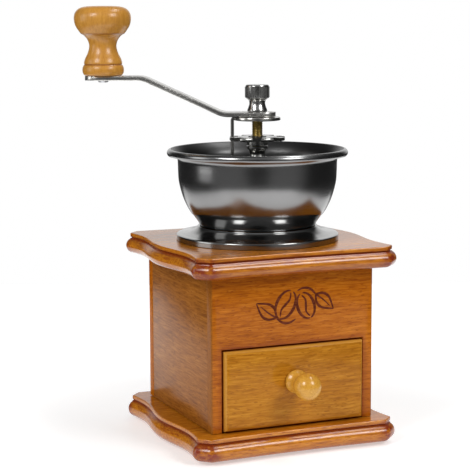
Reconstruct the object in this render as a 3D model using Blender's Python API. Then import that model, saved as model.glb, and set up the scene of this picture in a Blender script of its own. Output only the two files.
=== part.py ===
"""Hand-cranked coffee grinder: wooden case with a drawer, metal hopper bowl, conical burrs and crank."""
import math

import bmesh
import bpy
from mathutils import Matrix, Vector

MM = 0.001

# Driving dimensions
FIT = 0.3 * MM                      # gap between pieces that touch
PAD_THICKNESS = 1.5 * MM
BASE_THICKNESS = 13.2 * MM
LID_THICKNESS = 12 * MM
BOARD_HALF = 60.3 * MM              # from the middle of a board to its side, near a corner
CASE_WIDTH = 100 * MM
CASE_HEIGHT = 88.7 * MM
PANEL = 6 * MM
DRAWER_WIDTH = 85.8 * MM
DRAWER_TOP = 46.4 * MM              # above the base board
DRAWER_PROUD = 3 * MM
BURR_WELL_RADIUS = 23 * MM
SCREW_CIRCLE = 26.5 * MM            # radius of the four screws that hold the bowl
SPINDLE_RADIUS = 3.2 * MM
ARM_LENGTH = 89.5 * MM
ARM_RISE = 21.1 * MM
ARM_WIDTH = 16 * MM
ARM_THICKNESS = 2.6 * MM
CRANK_ANGLE = math.radians(155)     # where the crank stands at rest, from +X

# Heights above the surface that the grinder stands on
BASE_BOTTOM = PAD_THICKNESS + FIT
BASE_TOP = BASE_BOTTOM + BASE_THICKNESS
LID_BOTTOM = BASE_TOP + CASE_HEIGHT
LID_TOP = LID_BOTTOM + LID_THICKNESS
BOWL_FLOOR = LID_TOP + 7.2 * MM
BRIDGE_TOP = LID_TOP + 44.3 * MM
NUT_BOTTOM = LID_TOP + 55.1 * MM
STOP_PLATE_BOTTOM = LID_TOP + 69.7 * MM
ARM_BOTTOM = LID_TOP + 71.9 * MM
KNOB_SEAT = ARM_BOTTOM + ARM_RISE + ARM_THICKNESS
BURR_BOTTOM = LID_TOP - 26.7 * MM
LOWER_BAR_TOP = LID_TOP - 30.9 * MM

for old in list(bpy.data.objects):
    bpy.data.objects.remove(old)


def material(name, colour, metallic, roughness):
    mat = bpy.data.materials.new(name)
    mat.use_nodes = True
    mat.diffuse_color = (*colour, 1)
    shader = mat.node_tree.nodes["Principled BSDF"]
    shader.inputs["Base Color"].default_value = (*colour, 1)
    shader.inputs["Metallic"].default_value = metallic
    shader.inputs["Roughness"].default_value = roughness
    return mat


honey_wood = material("honey_wood", (0.50, 0.21, 0.06), 0, 0.3)
drawer_wood = material("drawer_wood", (0.72, 0.50, 0.28), 0, 0.55)
pale_wood = material("pale_wood", (0.76, 0.42, 0.13), 0, 0.3)
black_nickel = material("black_nickel", (0.06, 0.06, 0.065), 1, 0.15)
bright_steel = material("bright_steel", (0.62, 0.61, 0.59), 1, 0.2)
yellow_zinc = material("yellow_zinc", (0.72, 0.50, 0.18), 1, 0.25)
cast_iron = material("cast_iron", (0.12, 0.12, 0.125), 1, 0.5)
zinc_screw = material("zinc_screw", (0.55, 0.56, 0.58), 1, 0.35)
nylon = material("nylon", (0.85, 0.84, 0.80), 0, 0.4)
felt = material("felt", (0.10, 0.09, 0.08), 0, 0.95)


def node(name, bm, mat, location=(0, 0, 0), parent=None, smooth=True):
    """Turn a bmesh into a named object, with its faces outward and its sharp edges kept."""
    bmesh.ops.recalc_face_normals(bm, faces=bm.faces)
    mesh = bpy.data.meshes.new(name)
    bm.to_mesh(mesh)
    bm.free()
    mesh.materials.append(mat)
    obj = bpy.data.objects.new(name, mesh)
    bpy.context.scene.collection.objects.link(obj)
    obj.location = location
    obj.parent = parent
    if smooth:
        mesh.shade_smooth()
        mesh.set_sharp_from_angle(angle=math.radians(35))
    return obj


def loft(rings, closed=False):
    """Skin a list of rings that have equally many points; closed joins the last ring to the first."""
    bm = bmesh.new()
    loops = [[bm.verts.new(point) for point in ring] for ring in rings]
    pairs = list(zip(loops, loops[1:]))
    if closed:
        pairs.append((loops[-1], loops[0]))
    for low, high in pairs:
        for i in range(len(low)):
            j = (i + 1) % len(low)
            bm.faces.new((low[i], low[j], high[j], high[i]))
    if not closed:
        bm.faces.new(loops[0])
        bm.faces.new(loops[-1])
    return bm


def circle(radius, z, count, start=0.0):
    turn = [start + 2 * math.pi * i / count for i in range(count)]
    return [Vector((radius * math.cos(a), radius * math.sin(a), z)) for a in turn]


def turned(profile, count, closed=False):
    """Revolve (radius, height) pairs given in millimetres around Z."""
    return loft([circle(r * MM, z * MM, count) for r, z in profile], closed)


def arc(centre, radius, first, last, steps):
    """Points of an arc in the (radius, height) plane, with angles in degrees."""
    turn = [math.radians(first + (last - first) * i / steps) for i in range(steps + 1)]
    return [(centre[0] + radius * math.cos(a), centre[1] + radius * math.sin(a)) for a in turn]


def block(low, high, bevel=0.5 * MM):
    """A box between two corners, with its edges broken."""
    bm = bmesh.new()
    size = Vector(high) - Vector(low)
    middle = (Vector(high) + Vector(low)) / 2
    place = Matrix.Translation(middle) @ Matrix.Diagonal((*size, 1))
    bmesh.ops.create_cube(bm, size=1, matrix=place)
    if bevel:
        bmesh.ops.bevel(bm, geom=bm.edges[:], offset=bevel, segments=1, affect="EDGES")
    return bm


def rods(places, radius, low, high, count=12):
    """Upright cylinders at several (x, y) places, in one bmesh."""
    bm = bmesh.new()
    for x, y in places:
        centre = Matrix.Translation((x, y, (low + high) / 2))
        bmesh.ops.create_cone(bm, cap_ends=True, segments=count, radius1=radius, radius2=radius,
                              depth=high - low, matrix=centre)
    return bm


def cutter(name, bm, location=(0, 0, 0), parent=None):
    obj = node(name, bm, felt, location, parent, smooth=False)
    obj.hide_render = True
    obj.display_type = "WIRE"
    return obj


def cut(obj, *tools):
    for tool in tools:
        boolean = obj.modifiers.new(tool.name, "BOOLEAN")
        boolean.operation = "DIFFERENCE"
        boolean.object = tool


def empty(name, location, parent=None, turn=0.0):
    obj = bpy.data.objects.new(name, None)
    bpy.context.scene.collection.objects.link(obj)
    obj.empty_display_size = 0.02
    obj.location = location
    obj.rotation_euler.z = turn
    obj.parent = parent
    return obj


def screw(name, location, length, shank=1.3 * MM, head=3.0 * MM, parent=None):
    """A pan-head screw with its tip down and the underside of its head at its origin."""
    rings = [circle(0.3 * shank, -length, 10), circle(shank, -length + 2.5 * shank, 10),
             circle(shank, 0, 10), circle(head, 0, 10), circle(0.95 * head, 0.45 * head, 10),
             circle(0.6 * head, 0.64 * head, 10)]
    return node(name, loft(rings), zinc_screw, location, parent)


# ---------------------------------------------------------------- joint axes

crank_axis = empty("crank_axis", (0, 0, 0), turn=CRANK_ANGLE)
spindle_axis = empty("spindle_axis", (0, 0, 0), parent=crank_axis)
knob_axis = empty("knob_axis", (ARM_LENGTH, 0, KNOB_SEAT), parent=spindle_axis)
drawer_axis = empty("drawer_axis", (0, 0, BASE_TOP))

# ---------------------------------------------------------------- boards

CLIP = 6 * MM                       # leg of the flat that clips each corner
EDGE_RADIUS = 2.8 * MM              # of the two edges of that flat
SIDE_WAVE = 1.9 * MM                # how far the left and right edges swing out and in
WAVE_REACH = 36 * MM                # from the middle of a side to its hollow
FRONT_DIP = 1.5 * MM                # how far the front and back edges hollow in
EDGE_STEP = 3 * MM                  # height of the square edge over the bead


def board_edge():
    """The outline of a board's top face, counter-clockwise, as (point, outward direction) pairs."""
    reach = BOARD_HALF - CLIP - EDGE_RADIUS * math.tan(math.pi / 8)
    first = Vector((BOARD_HALF - EDGE_RADIUS, reach, 0))
    last = Vector((reach, BOARD_HALF - EDGE_RADIUS, 0))
    corner = ((15, first), (30, first), (45, (first + last) / 2), (60, last), (75, last))
    points = []
    for quarter in range(4):
        turn = Matrix.Rotation(quarter * math.pi / 2, 3, "Z")
        for i in range(13):
            along = reach * (-1 + i / 6)
            if quarter % 2 == 0:
                phase = math.pi * along / WAVE_REACH
                out = SIDE_WAVE * math.cos(phase)
                slope = -SIDE_WAVE * math.pi / WAVE_REACH * math.sin(phase)
            else:
                phase = math.pi * along / (2 * reach)
                out = -FRONT_DIP * math.cos(phase)
                slope = FRONT_DIP * math.pi / (2 * reach) * math.sin(phase)
            direction = Vector((1, -slope, 0)).normalized()
            points.append((turn @ Vector((BOARD_HALF + out, along, 0)), turn @ direction))
        for degrees, centre in corner:
            a = math.radians(degrees)
            direction = Vector((math.cos(a), math.sin(a), 0))
            points.append((turn @ (centre + EDGE_RADIUS * direction), turn @ direction))
    return points


def board(name, bottom, thickness):
    """Beaded board: a half-round bead under a thin square-edged top face."""
    bead_radius = (thickness - EDGE_STEP) / 2 / MM
    top = thickness / MM
    bead = arc((2.6 - bead_radius, bead_radius), bead_radius, -90, 70, 7)
    edge = bead + [(-0.9, 2 * bead_radius + 0.2), (-0.2, 2 * bead_radius + 0.8), (0.0, top - 0.3), (-0.3, top)]
    rings = [[point + direction * out * MM + Vector((0, 0, z * MM)) for point, direction in board_edge()]
             for out, z in edge]
    return node(name, loft(rings), honey_wood, (0, 0, bottom))


pad_half = 48 * MM
node("base_pad", block((-pad_half, -pad_half, 0), (pad_half, pad_half, PAD_THICKNESS), bevel=0), felt)
base_board = board("base_board", BASE_BOTTOM, BASE_THICKNESS)
top_board = board("top_board", LID_BOTTOM, LID_THICKNESS)

# ---------------------------------------------------------------- case panels

half = CASE_WIDTH / 2
panel_low = BASE_TOP + FIT
panel_high = LID_BOTTOM - FIT
inner = half - PANEL
side_length = inner - FIT

left_panel = node("left_panel", block((-half, -side_length, panel_low), (-inner, side_length, panel_high)),
                  honey_wood, smooth=False)
right_panel = node("right_panel", block((inner, -side_length, panel_low), (half, side_length, panel_high)),
                   honey_wood, smooth=False)
node("back_panel", block((-half, inner, panel_low), (half, half, panel_high)), honey_wood, smooth=False)


def front_panel():
    """The front with its drawer opening cut up from the bottom edge."""
    opening = DRAWER_WIDTH / 2 + 1 * MM
    head = BASE_TOP + DRAWER_TOP + 1.0 * MM
    outline = [(-half, panel_low), (-opening, panel_low), (-opening, head), (opening, head),
               (opening, panel_low), (half, panel_low), (half, panel_high), (-half, panel_high)]
    bm = bmesh.new()
    face = bm.faces.new([bm.verts.new((x, -half, z)) for x, z in outline])
    grown = bmesh.ops.extrude_face_region(bm, geom=[face])
    moved = [v for v in grown["geom"] if isinstance(v, bmesh.types.BMVert)]
    bmesh.ops.translate(bm, verts=moved, vec=(0, PANEL, 0))
    return node("front_panel", bm, honey_wood, smooth=False)


front_panel()

guide_inner = 38.6 * MM
for side, name in ((-1, "drawer_guide_left"), (1, "drawer_guide_right")):
    near, far = sorted((side * guide_inner, side * (inner - FIT)))
    node(name, block((near, -side_length + 0.6 * MM, panel_low), (far, side_length, BASE_TOP + 12 * MM)),
         drawer_wood, smooth=False)

base_screws = [(x * (half - PANEL / 2), y * 30 * MM) for x in (-1, 1) for y in (-1, 1)]
screw_seat = BASE_BOTTOM + 4 * MM
base_holes = cutter("base_screw_holes", rods(base_screws, 1.6 * MM, BASE_BOTTOM, BASE_TOP + 20 * MM))
base_pockets = cutter("base_screw_pockets", rods(base_screws, 3.8 * MM, BASE_BOTTOM - 1 * MM, screw_seat))
cut(base_board, base_holes, base_pockets)
cut(left_panel, base_holes)
cut(right_panel, base_holes)
for i, (x, y) in enumerate(base_screws):
    base_screw = screw(f"base_screw_{i + 1}", (x, y, screw_seat - FIT), 26 * MM)
    base_screw.rotation_euler.x = math.pi

# ---------------------------------------------------------------- hopper bowl and its foot

foot_profile = [(47.5, 0.3), (47.5, 3.0), (46.9, 3.7), (43.5, 4.1), (39.8, 4.9), (37.4, 6.0), (35.8, 7.2),
                (35.1, 8.3), (33.9, 8.3), (33.9, 6.9), (35.2, 5.4), (38.5, 3.7), (43.5, 2.6), (46.2, 2.1),
                (46.2, 0.3)]
node("foot_ring", turned(foot_profile, 48, closed=True), black_nickel, (0, 0, LID_TOP))

bowl_outside = [(18.0, 0), (31.9, 0), (33.0, 0.5), (34.0, 1.9), (35.0, 3.8), (37.2, 6.9), (39.7, 10.0),
                (42.7, 15.9), (44.7, 21.8), (46.0, 27.7), (46.3, 33.6), (46.4, 37.6), (48.2, 40.6)]
bowl_rim = arc((50.6, 43.9), 2.2, -80, 125, 7)
bowl_inside = [(46.9, 42.6), (45.3, 39.4), (45.1, 33.6), (44.8, 27.9), (43.5, 22.3), (41.6, 16.4),
               (38.8, 10.9), (36.3, 7.9), (34.4, 5.0), (33.3, 3.0), (32.3, 1.6), (31.4, 1.3), (18.0, 1.3)]
bowl = node("hopper_bowl", turned(bowl_outside + bowl_rim + bowl_inside, 48, closed=True), black_nickel,
            (0, 0, BOWL_FLOOR))

# ---------------------------------------------------------------- burr housing and outer burr

housing_profile = [(18.4, 6.7), (30.4, 6.7), (30.4, 0.3), (22.6, 0.3), (22.6, -30.6), (18.7, -30.6),
                   (18.7, -6.4), (15.9, -6.4), (16.4, 0.5)]
housing = node("burr_housing", turned(housing_profile, 36, closed=True), cast_iron, (0, 0, LID_TOP))

OUTER_BURR_TEETH = 14
INNER_BURR_TEETH = 12


def toothed(radius, depth, z, teeth, twist):
    """A ring of saw teeth, three points to a tooth."""
    points = []
    for i in range(teeth * 3):
        a = twist + 2 * math.pi * i / (teeth * 3)
        r = radius + depth * (i % 3) / 2
        points.append(Vector((r * math.cos(a), r * math.sin(a), z)))
    return points


def outer_burr():
    count = OUTER_BURR_TEETH * 3
    height = 23.4 * MM
    rings = [circle(18.4 * MM, 0, count), circle(18.4 * MM, height, count)]
    for level in (1.0, 0.66, 0.33, 0.0):
        radius = (16.1 - 3.1 * level) * MM
        rings.append(toothed(radius, 1.1 * MM, level * height, OUTER_BURR_TEETH, -0.35 * level))
    return node("outer_burr", loft(rings, closed=True), cast_iron, (0, 0, LOWER_BAR_TOP + FIT))


def inner_burr():
    count = INNER_BURR_TEETH * 3
    height = 24 * MM
    rings = [circle(SPINDLE_RADIUS + 0.2 * MM, z, count) for z in (height, 0)]
    for level in (0.0, 0.25, 0.5, 0.75, 1.0):
        radius = (14.7 - 6.5 * level) * MM
        rings.append(toothed(radius, -1.3 * MM, level * height, INNER_BURR_TEETH, 0.6 * level))
    return node("inner_burr", loft(rings, closed=True), cast_iron, (0, 0, BURR_BOTTOM), spindle_axis)


outer_burr()
inner_burr()

# ---------------------------------------------------------------- lower bearing

BAR_REACH = 22 * MM
BAR_HALF_WIDTH = 5.5 * MM
bar_screws = [(-20.6 * MM, 0), (20.6 * MM, 0)]
lower_bar = node("lower_bearing", block((-BAR_REACH, -BAR_HALF_WIDTH, LOWER_BAR_TOP - 3 * MM),
                                        (BAR_REACH, BAR_HALF_WIDTH, LOWER_BAR_TOP)), bright_steel, smooth=False)
bar_holes = cutter("lower_bearing_holes", rods(bar_screws, 1.1 * MM, LOWER_BAR_TOP - 6 * MM,
                                               LOWER_BAR_TOP + 10 * MM))
journal_hole = cutter("journal_hole", rods([(0, 0)], 2.8 * MM, LOWER_BAR_TOP - 5 * MM,
                                           LOWER_BAR_TOP + 2 * MM, 20))
cut(lower_bar, bar_holes, journal_hole)
cut(housing, bar_holes)
for i, (x, y) in enumerate(bar_screws):
    bar_screw = screw(f"lower_bearing_screw_{i + 1}", (x, y, LOWER_BAR_TOP - 3 * MM - FIT), 11 * MM,
                      shank=0.85 * MM, head=1.8 * MM)
    bar_screw.rotation_euler.x = math.pi

# ---------------------------------------------------------------- upper bearing bridge

BRIDGE_HALF_WIDTH = 5.5 * MM
BRIDGE_THICKNESS = 2.2 * MM


def strap(path, half_width, thickness, widths=None):
    """A flat strip that follows a path of (along, height) points, bent about the Y axis."""
    points = [Vector((x, 0, z)) for x, z in path]
    rings = []
    for i, point in enumerate(points):
        before = points[max(i - 1, 0)]
        after = points[min(i + 1, len(points) - 1)]
        tangent = (after - before).normalized()
        normal = Vector((-tangent.z, 0, tangent.x))
        reach = Vector((0, widths[i] if widths else half_width, 0))
        rise = normal * thickness / 2
        rings.append([point - reach - rise, point + reach - rise, point + reach + rise, point - reach + rise])
    return loft(rings)


def rounded(corners, radius, steps=4):
    """Replace each inner corner of an open polyline of (along, height) points with an arc."""
    corners = [Vector(corner) for corner in corners]
    points = [corners[0]]
    for before, corner, after in zip(corners, corners[1:], corners[2:]):
        into = (before - corner).normalized()
        out = (after - corner).normalized()
        half = into.angle(out) / 2
        centre = corner + (into + out).normalized() * radius / math.sin(half)
        spoke = corner + into * radius / math.tan(half) - centre
        turn = (math.pi - 2 * half) * (1 if into.cross(out) < 0 else -1)
        points += [centre + Matrix.Rotation(turn * i / steps, 2) @ spoke for i in range(steps + 1)]
    return points + [corners[-1]]


def bridge():
    """A strap that stands on the bowl's floor on two feet and carries the upper bearing."""
    middle = BRIDGE_THICKNESS / 2
    foot = BOWL_FLOOR + 1.3 * MM + FIT + middle
    top = BRIDGE_TOP - middle
    half_path = [(29.6 * MM, foot), (21.2 * MM, foot), (17.4 * MM, top)]
    corners = half_path + [(-x, z) for x, z in reversed(half_path)]
    return node("bearing_bridge", strap(rounded(corners, 2 * MM), BRIDGE_HALF_WIDTH, BRIDGE_THICKNESS),
                bright_steel, smooth=False)


bearing_bridge = bridge()
bush_hole = cutter("bush_hole", rods([(0, 0)], 4.9 * MM, BRIDGE_TOP - 5 * MM, BRIDGE_TOP + 2 * MM, 24))
cut(bearing_bridge, bush_hole)

bush_profile = [(3.5, -2.2), (4.6, -2.2), (4.6, 0.3), (6.2, 0.3), (6.2, 2.6), (4.7, 4.2), (4.4, 6.2),
                (4.8, 8.0), (6.2, 9.0), (6.2, 10.5), (3.5, 10.5)]
node("upper_bush", turned(bush_profile, 24, closed=True), bright_steel, (0, 0, BRIDGE_TOP))

bowl_screws = [(x * SCREW_CIRCLE, y * SCREW_CIRCLE) for x, y in ((1, 0), (-1, 0), (0, 1), (0, -1))]
screw_holes = cutter("bowl_screw_holes", rods(bowl_screws, 1.7 * MM, LID_TOP - 10 * MM, BOWL_FLOOR + 6 * MM))
burr_well = cutter("burr_well", rods([(0, 0)], BURR_WELL_RADIUS, LID_BOTTOM - 2 * MM, LID_TOP + 2 * MM, 36))
cut(top_board, burr_well, screw_holes)
cut(bowl, screw_holes)
cut(housing, screw_holes)
cut(bearing_bridge, screw_holes)
for i, (x, y) in enumerate(bowl_screws):
    seat = BOWL_FLOOR + 1.3 * MM + FIT
    if y == 0:
        seat += BRIDGE_THICKNESS + FIT
    screw(f"bowl_screw_{i + 1}", (x, y, seat), seat - LID_TOP + 8.5 * MM)

# ---------------------------------------------------------------- adjusting nut and spring

NOTCHES = 8
nut_profile = [(3.6, 0), (6.3, 0), (6.3, 2.9), (15.8, 2.9), (16.3, 3.4), (16.3, 4.5), (15.8, 5.0), (5.4, 5.0),
               (5.0, 5.5), (3.6, 5.5)]
nut = node("adjusting_nut", turned(nut_profile, 48, closed=True), bright_steel, (0, 0, NUT_BOTTOM), crank_axis)


def notches():
    """Boxes that cut the notches the stop plate's tab drops into."""
    bm = bmesh.new()
    for i in range(NOTCHES):
        turn = Matrix.Rotation(2 * math.pi * i / NOTCHES, 4, "Z")
        place = turn @ Matrix.Translation((15.3 * MM, 0, 4 * MM)) @ Matrix.Diagonal((8 * MM, 5 * MM, 6 * MM, 1))
        bmesh.ops.create_cube(bm, size=1, matrix=place)
    return cutter("nut_notches", bm, (0, 0, NUT_BOTTOM), crank_axis)


cut(nut, notches())

SPRING_TURNS = 7
SPRING_RADIUS = 5.4 * MM
WIRE_RADIUS = 0.55 * MM


def spring():
    """A compression spring between the inner burr and the bridge."""
    low = BURR_BOTTOM + 25.2 * MM + WIRE_RADIUS
    high = BRIDGE_TOP - BRIDGE_THICKNESS - FIT - WIRE_RADIUS
    steps = SPRING_TURNS * 14
    rings = []
    for i in range(steps + 1):
        a = 2 * math.pi * SPRING_TURNS * i / steps
        centre = Vector((0, 0, low + (high - low) * i / steps))
        outward = Vector((math.cos(a), math.sin(a), 0))
        wire = [2 * math.pi * k / 6 for k in range(6)]
        rings.append([centre + outward * (SPRING_RADIUS + WIRE_RADIUS * math.cos(w))
                      + Vector((0, 0, WIRE_RADIUS * math.sin(w))) for w in wire])
    return node("burr_spring", loft(rings), bright_steel, parent=crank_axis)


spring()

# ---------------------------------------------------------------- spindle and what turns with it

spindle_profile = [(2.1, -54.2), (2.5, -53.8), (2.5, -43.4), (3.2, -42.8), (3.2, 72.8), (2.7, 73.3)]
spindle_low = ARM_BOTTOM + ARM_THICKNESS + 11.9 * MM - 73.3 * MM
node("spindle", turned(spindle_profile, 20), yellow_zinc, (0, 0, spindle_low), spindle_axis)

washer_profile = [(3.5, 0), (6.6, 0), (6.6, 0.8), (3.5, 0.8)]
node("spring_washer", turned(washer_profile, 20, closed=True), bright_steel,
     (0, 0, BURR_BOTTOM + 24.2 * MM), spindle_axis)


def hexagon(flat, z, count=24):
    """Points around a hexagon that is flat from its centre to each side."""
    points = []
    for i in range(count):
        a = 2 * math.pi * i / count
        r = flat / math.cos(a % (math.pi / 3) - math.pi / 6)
        points.append(Vector((r * math.cos(a), r * math.sin(a), z)))
    return points


HEX_HEIGHT = 3.4 * MM
hex_nut = loft([circle(3.5 * MM, 0, 24), hexagon(5 * MM, 0), hexagon(5 * MM, HEX_HEIGHT),
                circle(3.5 * MM, HEX_HEIGHT, 24)], closed=True)
node("burr_nut", hex_nut, zinc_screw, (0, 0, BURR_BOTTOM - HEX_HEIGHT - FIT), spindle_axis, smooth=False)

STOP_RADIUS = 13.5 * MM
STOP_THICKNESS = 1.9 * MM
TAB_THICKNESS = 2.2 * MM
TAB_DROP = 20.5 * MM


def stop_plate():
    """A washer with a tab bent down into a notch of the adjusting nut, so the two turn as one."""
    count = 20
    half_step = math.pi / count
    rings = []
    for radius, z in ((3.5 * MM, 0), (STOP_RADIUS, 0), (STOP_RADIUS, STOP_THICKNESS), (3.5 * MM, STOP_THICKNESS)):
        ring = circle(radius, z, count, half_step)
        if radius == STOP_RADIUS:
            for i in (0, count - 1):
                ring[i].x *= 0.92
                ring[i].y *= 0.92
        rings.append(ring)
    bm = loft(rings, closed=True)
    bmesh.ops.recalc_face_normals(bm, faces=bm.faces)
    bm.faces.ensure_lookup_table()
    edge_face = max(bm.faces, key=lambda f: f.normal.x - abs(f.normal.y))
    grown = bmesh.ops.extrude_discrete_faces(bm, faces=[edge_face])["faces"][0]
    bmesh.ops.translate(bm, verts=grown.verts, vec=(TAB_THICKNESS, 0, 0))
    bmesh.ops.recalc_face_normals(bm, faces=bm.faces)
    lower = [f for f in bm.faces if f.normal.z < -0.9 and f.calc_center_median().x > STOP_RADIUS * 0.92]
    grown = bmesh.ops.extrude_discrete_faces(bm, faces=lower)["faces"][0]
    bmesh.ops.translate(bm, verts=grown.verts, vec=(0, 0, -TAB_DROP))
    return node("stop_plate", bm, bright_steel, (0, 0, STOP_PLATE_BOTTOM), spindle_axis, smooth=False)


stop_plate()


def crank_arm():
    """A flat strip with round ends, bent up between the hub and the knob."""
    end = 10.7 * MM
    middle = ARM_THICKNESS / 2
    stations = [-end, -0.97 * end, -0.85 * end, -0.6 * end, -0.2 * end, 8 * MM]
    corners = [(8.5 * MM, middle), (19.9 * MM, middle), (ARM_LENGTH - 23.3 * MM, ARM_RISE + middle),
               (ARM_LENGTH - 8.5 * MM, ARM_RISE + middle)]
    path = [(s, middle) for s in stations] + rounded(corners, 16 * MM)
    path += [(ARM_LENGTH - s, ARM_RISE + middle) for s in reversed(stations)]
    widths = []
    for x, _ in path:
        past = max(-x - end + ARM_WIDTH / 2, x - ARM_LENGTH - end + ARM_WIDTH / 2, 0)
        round_end = math.sqrt(max((ARM_WIDTH / 2) ** 2 - past ** 2, (0.6 * MM) ** 2))
        widths.append(round_end)
    return node("crank_arm", strap(path, 0, ARM_THICKNESS, widths), bright_steel, (0, 0, ARM_BOTTOM),
                spindle_axis, smooth=False)


arm = crank_arm()
hub_hole = cutter("hub_hole", rods([(0, 0)], SPINDLE_RADIUS + 0.2 * MM, -2 * MM, 6 * MM, 20),
                  (0, 0, ARM_BOTTOM), spindle_axis)
pin_hole = cutter("pin_hole", rods([(ARM_LENGTH, 0)], 2.4 * MM, ARM_RISE - 3 * MM, ARM_RISE + 6 * MM, 20),
                  (0, 0, ARM_BOTTOM), spindle_axis)
cut(arm, hub_hole, pin_hole)

cap_profile = [(3.5, 0), (5.8, 0), (5.8, 0.8), (5.3, 2.2), (4.7, 4.0), (4.6, 5.2), (5.0, 6.5), (6.3, 7.4),
               (7.15, 8.0), (7.15, 14.5), (6.7, 15.2), (5.8, 15.5)]
cap_bore = [(3.5, 12.6)]
cap_rings = [circle(r * MM, z * MM, 24) for r, z in cap_bore + cap_profile]
node("cap_nut", loft(cap_rings), bright_steel, (0, 0, ARM_BOTTOM + ARM_THICKNESS + FIT), spindle_axis)

# ---------------------------------------------------------------- crank knob and its pin

pin_profile = [(1.6, -4.0), (2.7, -3.7), (3.1, -2.9), (2.1, -2.9), (2.1, 22.1), (3.2, 22.1), (3.2, 24.0)]
node("knob_pin", turned(pin_profile, 16), zinc_screw, (ARM_LENGTH, 0, KNOB_SEAT), spindle_axis)

bush_sleeve = [(2.4, 0.5), (3.7, 0.5), (3.7, 21.6), (2.4, 21.6)]
node("knob_bush", turned(bush_sleeve, 16, closed=True), nylon, parent=knob_axis)

knob_bore = [(4.0, 25.5), (4.0, 0.3)]
knob_profile = [(10.8, 0.3), (11.6, 1.3), (12.1, 3.2), (11.9, 4.8), (11.1, 6.7), (10.9, 8.2), (10.2, 10.4),
                (8.9, 12.8), (8.1, 15.6), (7.9, 17.5), (8.3, 19.4), (9.5, 22.0), (10.7, 23.2), (12.9, 24.6),
                (14.2, 26.6), (15.7, 29.0), (16.5, 32.2), (16.4, 34.6), (15.5, 36.9), (13.5, 38.9),
                (10.2, 39.9), (5.0, 40.2)]
node("crank_knob", turned(knob_bore + knob_profile, 28), pale_wood, parent=knob_axis)

# ---------------------------------------------------------------- drawer

BOX_GAP = 0.4 * MM                  # under the drawer's box
FRONT_GAP = 1.1 * MM                # under its front
BOX_HALF = 38 * MM
BOX_BACK = 36 * MM
BOX_WALL = 5 * MM
BOX_HEIGHT = 40 * MM
FRONT_BACK = -inner + 0.6 * MM
FRONT_FACE = -half - DRAWER_PROUD


def drawer_front():
    """The drawer front, with its outer edges rounded over."""
    half_width = DRAWER_WIDTH / 2
    bm = block((-half_width, FRONT_FACE, FRONT_GAP), (half_width, FRONT_BACK, DRAWER_TOP), bevel=0)
    rim = [e for e in bm.edges if all(abs(v.co.y - FRONT_FACE) < 1e-6 for v in e.verts)]
    bmesh.ops.bevel(bm, geom=rim, offset=2.6 * MM, segments=3, profile=0.6, affect="EDGES")
    return node("drawer_front", bm, honey_wood, parent=drawer_axis, smooth=False)


front = drawer_front()
box_front = FRONT_BACK + FIT
bottom_top = BOX_GAP + 3 * MM
node("drawer_bottom", block((-BOX_HALF, box_front, BOX_GAP), (BOX_HALF, BOX_BACK, bottom_top)),
     drawer_wood, parent=drawer_axis, smooth=False)
for side, name in ((-1, "drawer_side_left"), (1, "drawer_side_right")):
    near, far = sorted((side * BOX_HALF, side * (BOX_HALF - BOX_WALL)))
    node(name, block((near, box_front, bottom_top + FIT), (far, BOX_BACK, BOX_HEIGHT)), drawer_wood,
         parent=drawer_axis, smooth=False)
between = BOX_HALF - BOX_WALL - FIT
node("drawer_back", block((-between, BOX_BACK - BOX_WALL, bottom_top + FIT), (between, BOX_BACK, BOX_HEIGHT)),
     drawer_wood, parent=drawer_axis, smooth=False)

KNOB_HEIGHT = 26.6 * MM             # of the drawer's knob, above the base board
small_knob_profile = [(1.8, 14.0), (1.8, 0.3), (6.2, 0.3), (6.8, 1.0), (6.6, 2.2), (5.3, 3.6), (4.7, 5.2),
                      (4.7, 7.0), (5.4, 8.8)] + arc((0, 15.5), 7.7, -38, 80, 7)
small_knob = node("drawer_knob", turned(small_knob_profile, 24), pale_wood,
                  (0, FRONT_FACE, KNOB_HEIGHT), drawer_axis)
small_knob.rotation_euler.x = math.pi / 2

knob_screw = screw("drawer_knob_screw", (0, FRONT_BACK + FIT, KNOB_HEIGHT), 22 * MM, shank=1.4 * MM,
                   head=3.4 * MM, parent=drawer_axis)
knob_screw.rotation_euler.x = -math.pi / 2
front_hole = cutter("knob_screw_hole", rods([(0, 0)], 1.8 * MM, -5 * MM, 15 * MM),
                    (0, FRONT_BACK, KNOB_HEIGHT), drawer_axis)
front_hole.rotation_euler.x = math.pi / 2
cut(front, front_hole)
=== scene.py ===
"""Looks of a hand-cranked coffee grinder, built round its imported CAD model."""
import math

import bmesh
import bpy
from mathutils import Matrix, Vector


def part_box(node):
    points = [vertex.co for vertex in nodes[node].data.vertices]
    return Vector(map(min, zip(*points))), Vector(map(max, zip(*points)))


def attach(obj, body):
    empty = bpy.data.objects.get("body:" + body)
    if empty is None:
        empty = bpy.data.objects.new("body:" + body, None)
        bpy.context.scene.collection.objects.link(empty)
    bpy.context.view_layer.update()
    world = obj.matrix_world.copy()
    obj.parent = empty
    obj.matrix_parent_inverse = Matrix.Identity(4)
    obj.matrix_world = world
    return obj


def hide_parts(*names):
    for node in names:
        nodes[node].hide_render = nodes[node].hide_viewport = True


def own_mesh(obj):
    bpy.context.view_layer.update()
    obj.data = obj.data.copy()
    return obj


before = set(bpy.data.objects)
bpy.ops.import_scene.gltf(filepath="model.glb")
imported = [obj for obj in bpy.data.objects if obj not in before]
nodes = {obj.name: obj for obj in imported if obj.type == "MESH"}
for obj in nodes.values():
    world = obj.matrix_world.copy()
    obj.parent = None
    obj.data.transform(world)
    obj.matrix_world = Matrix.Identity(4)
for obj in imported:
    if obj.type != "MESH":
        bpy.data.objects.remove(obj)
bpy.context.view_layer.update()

# ---- camera
# A long lens looks slightly down on the grinder from its front left, level with the head of
# the hand knob, and takes in the whole object with a narrow margin.

MM = 0.001


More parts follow.
